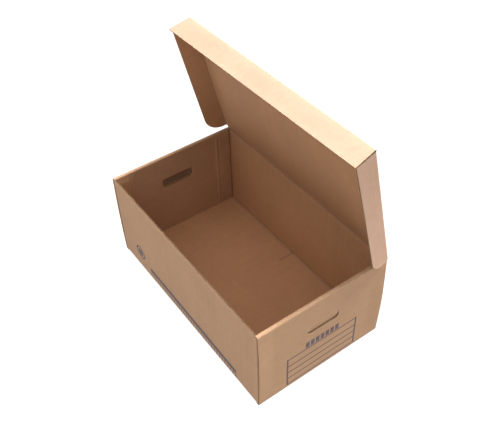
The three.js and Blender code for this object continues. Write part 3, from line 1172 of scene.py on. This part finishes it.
def hand_hole_flap(name, node, body, joint, end):
    """The flap cut out of one end's outer panel, and the strip above it, bent to the flap's angle."""
    pivot = Vector(joints[joint]["pos_m"])
    angle = math.radians(-joints[joint]["range_deg"][0]) * end
    turn = Matrix.Translation(pivot) @ Matrix.Rotation(angle, 4, "Y") @ Matrix.Translation(-pivot)
    x = pivot.x
    half = HAND_HOLE_WIDTH / 2 - CUT_GAP
    strip_foot = pivot.z - FLAP_STRIP
    bottom = HAND_HOLE_BOTTOM + CUT_GAP

    def turned(a, b, q):
        return turn @ Vector((a, q, b))

    fold = Fold([(x, strip_foot), (x, bottom)])
    sheet = Sheet(fold, turned, "q", end, phase=long_wall_end_x, joined=[("s", 0.0)])
    corner = HAND_HOLE_CORNER
    outline = [(strip_foot - z, q) for z, q in (
        (strip_foot, -half),
        *[(z, q) for q, z in arc((-half + corner, bottom + corner), corner, 180, 270, CORNER_STEPS)],
        *[(z, q) for q, z in arc((half - corner, bottom + corner), corner, 270, 360, CORNER_STEPS)],
        (strip_foot, half),
    )]
    build = Build()
    build.add_sheet(sheet, outline)
    # The flap's liner paints its inner side dark, as shade in the hand hole
    flap = build.finish(name, [flap_liner_painted_shade, core])
    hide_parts(node)
    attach(flap, body)

    end_point = turn @ Vector((x, 0, strip_foot))
    fold = Fold([(x, hand_hole_top), (x, pivot.z), (end_point.x, end_point.z)])
    sheet = Sheet(
        fold, along_y, "q", end, phase=long_wall_end_x, joined=[("s", 0.0), ("s", fold.length)],
        pinch=scored(hand_hole_top - pivot.z), fine=CREASE_ROW,
    )
    build = Build()
    build.add_sheet(sheet, rectangle(0, fold.length, -half, half))
    crease = build.finish(name + "_crease", [flap_liner_painted_shade, core])
    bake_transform(crease)


lid_crease()
hand_hole_flap("left_flap_board", "left_hand_hole_flap", "left_flap", "left_flap_hinge", -1)
hand_hole_flap("right_flap_board", "right_hand_hole_flap", "right_flap", "right_flap_hinge", 1)


# Floor, light and camera

FLOOR_LEVEL = -0.5 * MM
FLOOR_REACH = 30.0
FLOOR_TONE = 0.06
FLOOR_GLOW = 1.0
SURROUND_RADIUS = 27.0
SKY_LOW = 0.05
SKY_HIGH = 1.35
SKY_TOP = 0.9
KEY = 8.2
KEY_SPREAD = 20
KEY_FROM = (0.0, 0.62, 1.0)


def glowing_material(name, tone, glow):
    """A plain material that gives off white light of its own."""
    n = Nodes(name)
    n.shader.inputs["Base Color"].default_value = (tone, tone, tone, 1)
    n.shader.inputs["Roughness"].default_value = 0.9
    n.shader.inputs["Emission Color"].default_value = (1, 1, 1, 1)
    n.shader.inputs["Emission Strength"].default_value = glow
    return n.material


def studio():
    """A pale floor, a white surround that only the camera sees, soft light from above and a key light."""
    mesh = bpy.data.meshes.new("studio_floor")
    signs = ((-1, -1), (1, -1), (1, 1), (-1, 1))
    corners = [(x * FLOOR_REACH, y * FLOOR_REACH, FLOOR_LEVEL) for x, y in signs]
    mesh.from_pydata(corners, [], [(0, 1, 2, 3)])
    floor = bpy.data.objects.new("studio_floor", mesh)
    bpy.context.scene.collection.objects.link(floor)
    mesh.materials.append(glowing_material("studio_floor", FLOOR_TONE, FLOOR_GLOW))

    bpy.ops.mesh.primitive_uv_sphere_add(segments=48, ring_count=24, radius=SURROUND_RADIUS)
    surround = bpy.context.object
    surround.name = "studio_surround"
    surround.data.materials.append(glowing_material("studio_surround", 0, 1.0))
    surround.visible_diffuse = False
    surround.visible_glossy = False
    surround.visible_transmission = False
    surround.visible_shadow = False

    world = bpy.data.worlds.new("studio_world")
    bpy.context.scene.world = world
    world.use_nodes = True
    tree = world.node_tree
    where = tree.nodes.new("ShaderNodeTexCoord")
    parts = tree.nodes.new("ShaderNodeSeparateXYZ")
    shade = tree.nodes.new("ShaderNodeMapRange")
    shade.inputs["From Min"].default_value = 0.0
    shade.inputs["From Max"].default_value = SKY_TOP
    shade.inputs["To Min"].default_value = SKY_LOW
    shade.inputs["To Max"].default_value = SKY_HIGH
    tree.links.new(where.outputs["Generated"], parts.inputs[0])
    tree.links.new(parts.outputs["Z"], shade.inputs["Value"])
    tree.links.new(shade.outputs[0], tree.nodes["Background"].inputs["Strength"])
    tree.nodes["Background"].inputs["Color"].default_value = (1, 1, 1, 1)

    data = bpy.data.lights.new("key", "SUN")
    data.energy = KEY
    data.angle = math.radians(KEY_SPREAD)
    key = bpy.data.objects.new("key", data)
    key.rotation_euler = Vector(KEY_FROM).to_track_quat("Z", "Y").to_euler()
    bpy.context.scene.collection.objects.link(key)


# The photograph's camera, fitted to the box's corners
CAMERA_AZIMUTH = 55.51
CAMERA_ELEVATION = 44.10
CAMERA_ROLL = -1.93
CAMERA_DISTANCE = 1.7668
CAMERA_RIGHT = 0.0100
CAMERA_UP = 0.1723
FOCAL_PIXELS = 693.5
PHOTO_WIDTH = 495
SENSOR_WIDTH = 36.0


def photo_camera():
    """Looks at the origin from its azimuth and elevation, moved sideways and up in its own view."""
    azimuth = math.radians(CAMERA_AZIMUTH)
    elevation = math.radians(CAMERA_ELEVATION)
    roll = math.radians(CAMERA_ROLL)
    back = Vector((
        math.sin(azimuth) * math.cos(elevation),
        -math.cos(azimuth) * math.cos(elevation),
        math.sin(elevation),
    ))
    level_right = Vector((0, 0, 1)).cross(back).normalized()
    level_up = back.cross(level_right)
    right = level_right * math.cos(roll) + level_up * math.sin(roll)
    up = level_up * math.cos(roll) - level_right * math.sin(roll)
    place = right * CAMERA_RIGHT + up * CAMERA_UP + back * CAMERA_DISTANCE
    data = bpy.data.cameras.new("photo_camera")
    data.sensor_fit = "HORIZONTAL"
    data.sensor_width = SENSOR_WIDTH
    data.lens = FOCAL_PIXELS / PHOTO_WIDTH * SENSOR_WIDTH
    data.clip_start = 0.05
    data.clip_end = 100
    camera = bpy.data.objects.new("photo_camera", data)
    turn = Matrix((right, up, back)).transposed()
    camera.matrix_world = Matrix.Translation(place) @ turn.to_4x4()
    bpy.context.scene.collection.objects.link(camera)
    bpy.context.scene.camera = camera


studio()
photo_camera()
bpy.context.scene.view_settings.view_transform = "Standard"
